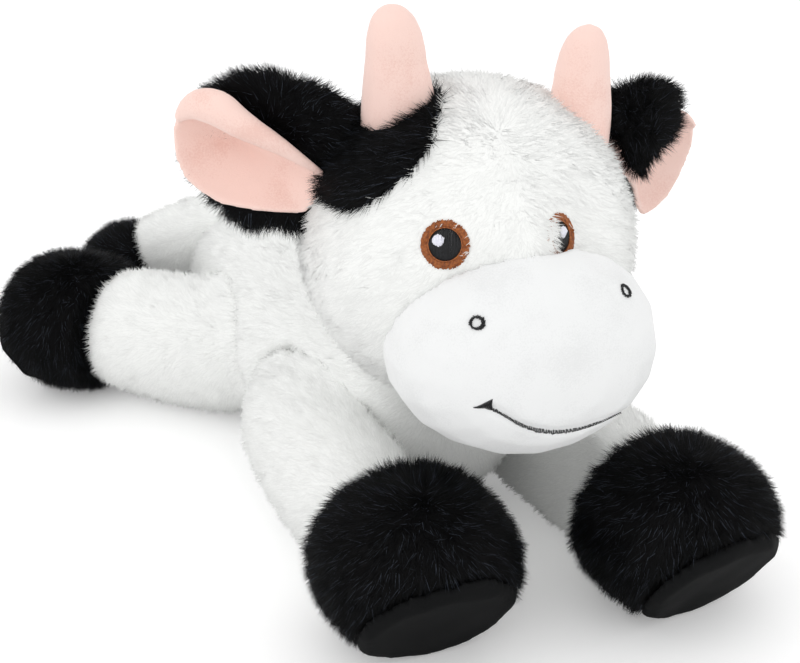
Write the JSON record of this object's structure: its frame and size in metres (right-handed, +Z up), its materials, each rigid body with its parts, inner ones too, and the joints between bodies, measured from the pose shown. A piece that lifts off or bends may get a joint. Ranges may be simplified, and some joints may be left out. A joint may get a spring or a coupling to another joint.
{
  "type": "plush cow",
  "caption": "Plush cow lying on its belly with its head up; the head, ears, legs and tail are soft joints that spring back.",
  "frame": {"origin": "on the floor under the middle of the bounding box of the whole toy", "axes": "+Z up, the cow faces -Y, and its own left side is +X"},
  "size_m": [0.3468, 0.5166, 0.2892],
  "materials": {
    "white_plush": "short dense pile",
    "black_plush": "longer shaggy pile",
    "white_minky": "smooth short nap",
    "pink_minky": "smooth short nap",
    "black_minky": "smooth short nap",
    "brown_thread": "satin stitch",
    "black_thread": "satin stitch",
    "white_thread": "satin stitch",
    "fibre_fill": "loose polyester fibre"
  },
  "bodies": {
    "trunk": {"trunk_skin": "white_plush", "trunk_stuffing": "fibre_fill"},
    "head": {"head_skin": "white_plush", "head_stuffing": "fibre_fill", "head_patch": "black_plush", "muzzle": "white_minky", "chin": "white_minky", "smile_stitching": "black_thread", "nostril_right": "black_thread", "eye_iris_right": "brown_thread", "eye_pupil_right": "black_thread", "eye_glint_right": "white_thread", "horn_right": "pink_minky", "nostril_left": "black_thread", "eye_iris_left": "brown_thread", "eye_pupil_left": "black_thread", "eye_glint_left": "white_thread", "horn_left": "pink_minky"},
    "ear_right": {"ear_right": "black_plush", "ear_lining_right": "pink_minky"},
    "ear_left": {"ear_left": "black_plush", "ear_lining_left": "pink_minky"},
    "foreleg_right": {"foreleg_right": "white_plush", "fore_hoof_right": "black_plush", "fore_sole_right": "black_minky"},
    "foreleg_left": {"foreleg_left": "white_plush", "fore_hoof_left": "black_plush", "fore_sole_left": "black_minky"},
    "hindleg_right": {"hindleg_right": "white_plush", "hind_hoof_right": "black_plush", "hind_sole_right": "black_minky"},
    "hindleg_left": {"hindleg_left": "white_plush", "hind_hoof_left": "black_plush", "hind_sole_left": "black_minky"},
    "tail": {"tail": "white_plush", "tail_tuft": "black_plush"}
  },
  "joints": [
    {"name": "head_nod", "type": "hinge", "parent": "trunk", "child": "head", "pos_m": [0, -0.0948, 0.112], "axis": [-0.9848, 0.1736, 0], "range_deg": [-4, 20], "stiffness_Nm_per_rad": 4},
    {"name": "ear_right_flap", "type": "hinge", "parent": "head", "child": "ear_right", "pos_m": [-0.07055, -0.11079, 0.206], "axis": [-0.1548, 0.0273, -0.9876], "range_deg": [-18, 18], "stiffness_Nm_per_rad": 0.3},
    {"name": "ear_left_flap", "type": "hinge", "parent": "head", "child": "ear_left", "pos_m": [0.06673, -0.135, 0.206], "axis": [0.2305, -0.0406, 0.9722], "range_deg": [-18, 18], "stiffness_Nm_per_rad": 0.3},
    {"name": "foreleg_right_swing", "type": "hinge", "parent": "trunk", "child": "foreleg_right", "pos_m": [-0.05, -0.0308, 0.0415], "axis": [1, 0, 0], "range_deg": [-2, 45], "stiffness_Nm_per_rad": 1.5},
    {"name": "foreleg_left_swing", "type": "hinge", "parent": "trunk", "child": "foreleg_left", "pos_m": [0.05, -0.0588, 0.0415], "axis": [1, 0, 0], "range_deg": [-2, 45], "stiffness_Nm_per_rad": 1.5},
    {"name": "hindleg_right_swing", "type": "hinge", "parent": "trunk", "child": "hindleg_right", "pos_m": [-0.05, 0.0692, 0.0415], "axis": [-1, 0, 0], "range_deg": [-2, 45], "stiffness_Nm_per_rad": 1.5},
    {"name": "hindleg_left_swing", "type": "hinge", "parent": "trunk", "child": "hindleg_left", "pos_m": [0.05, 0.0692, 0.0415], "axis": [-1, 0, 0], "range_deg": [-2, 45], "stiffness_Nm_per_rad": 1.5},
    {"name": "tail_swing", "type": "hinge", "parent": "trunk", "child": "tail", "pos_m": [-0.008, 0.17985, 0.06763], "axis": [0, 0.9703, 0.2419], "range_deg": [-25, 40], "stiffness_Nm_per_rad": 0.8}
  ]
}
